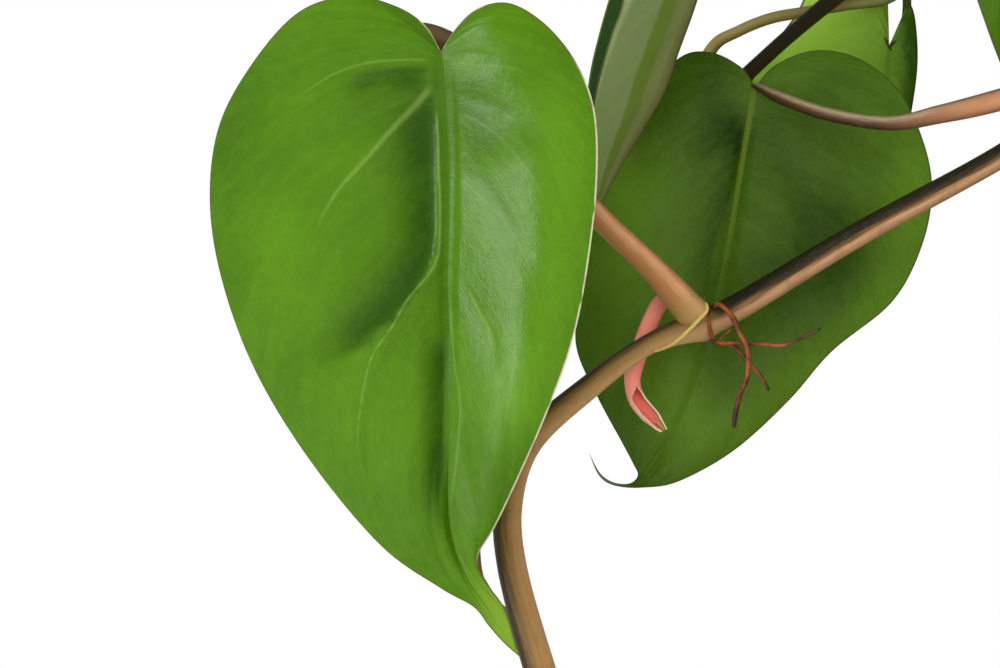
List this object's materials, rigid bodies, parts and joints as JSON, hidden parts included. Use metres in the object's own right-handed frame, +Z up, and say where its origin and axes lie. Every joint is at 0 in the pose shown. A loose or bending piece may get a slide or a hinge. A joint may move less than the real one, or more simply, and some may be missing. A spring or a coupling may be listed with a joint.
{
  "type": "potted heartleaf philodendron",
  "caption": "Trailing heart-leaved climber rooted in a plain tapered clay pot, its long vines arching over the rim, hanging down and lying on the surface around it.",
  "frame": {"origin": "centre of the pot's flat foot", "axes": "+Z up, the pot's axis; the leaves that set the plant's look hang at -X and face -Y"},
  "size_m": [0.4654, 0.3984, 0.2443],
  "materials": {
    "clay": "matt unglazed terracotta",
    "soil": "rough crumbly potting soil",
    "stem": "smooth satin, brown with a dark upper side",
    "leaf_young": "glossy bright green with sunken side veins and a pale margin",
    "leaf_deep": "glossy dark green with a paler midrib",
    "leaf_pale": "satin grey-green underside"
  },
  "bodies": {
    "root": {"pot": "clay", "soil": "soil", "vine_1": "stem", "vine_2": "stem", "vine_3": "stem", "vine_4": "stem", "vine_5": "stem", "vine_6": "stem", "vine_front": "stem", "vine_back": "stem", "vine_crown": "stem", "leaf_1_1": "leaf_young", "leaf_1_2": "leaf_deep", "leaf_1_3": "leaf_deep", "leaf_1_4": "leaf_young", "leaf_1_5": "leaf_deep", "leaf_2_1": "leaf_deep", "leaf_2_2": "leaf_deep", "leaf_2_3": "leaf_young", "leaf_2_4": "leaf_deep", "leaf_2_5": "leaf_deep", "leaf_3_1": "leaf_deep", "leaf_3_2": "leaf_young", "leaf_3_3": "leaf_deep", "leaf_3_4": "leaf_deep", "leaf_3_5": "leaf_young", "leaf_4_1": "leaf_young", "leaf_4_2": "leaf_deep", "leaf_4_3": "leaf_deep", "leaf_4_4": "leaf_young", "leaf_4_5": "leaf_deep", "leaf_5_1": "leaf_deep", "leaf_5_2": "leaf_deep", "leaf_5_3": "leaf_young", "leaf_5_4": "leaf_deep", "leaf_5_5": "leaf_deep", "leaf_6_1": "leaf_deep", "leaf_6_2": "leaf_young", "leaf_6_3": "leaf_deep", "leaf_6_4": "leaf_deep", "leaf_6_5": "leaf_young", "leaf_crown_1": "leaf_deep", "leaf_crown_2": "leaf_young", "leaf_crown_3": "leaf_deep", "leaf_crown_4": "leaf_young", "leaf_front": "leaf_young", "leaf_back": "leaf_deep", "leaf_behind": "leaf_young", "leaf_front_top": "leaf_deep", "leaf_front_low": "leaf_young", "leaf_front_end": "leaf_deep", "leaf_narrow": "leaf_pale", "leaf_corner": "leaf_young", "leaf_back_top": "leaf_deep", "leaf_back_low": "leaf_deep", "leaf_back_end": "leaf_young"}
  },
  "joints": []
}
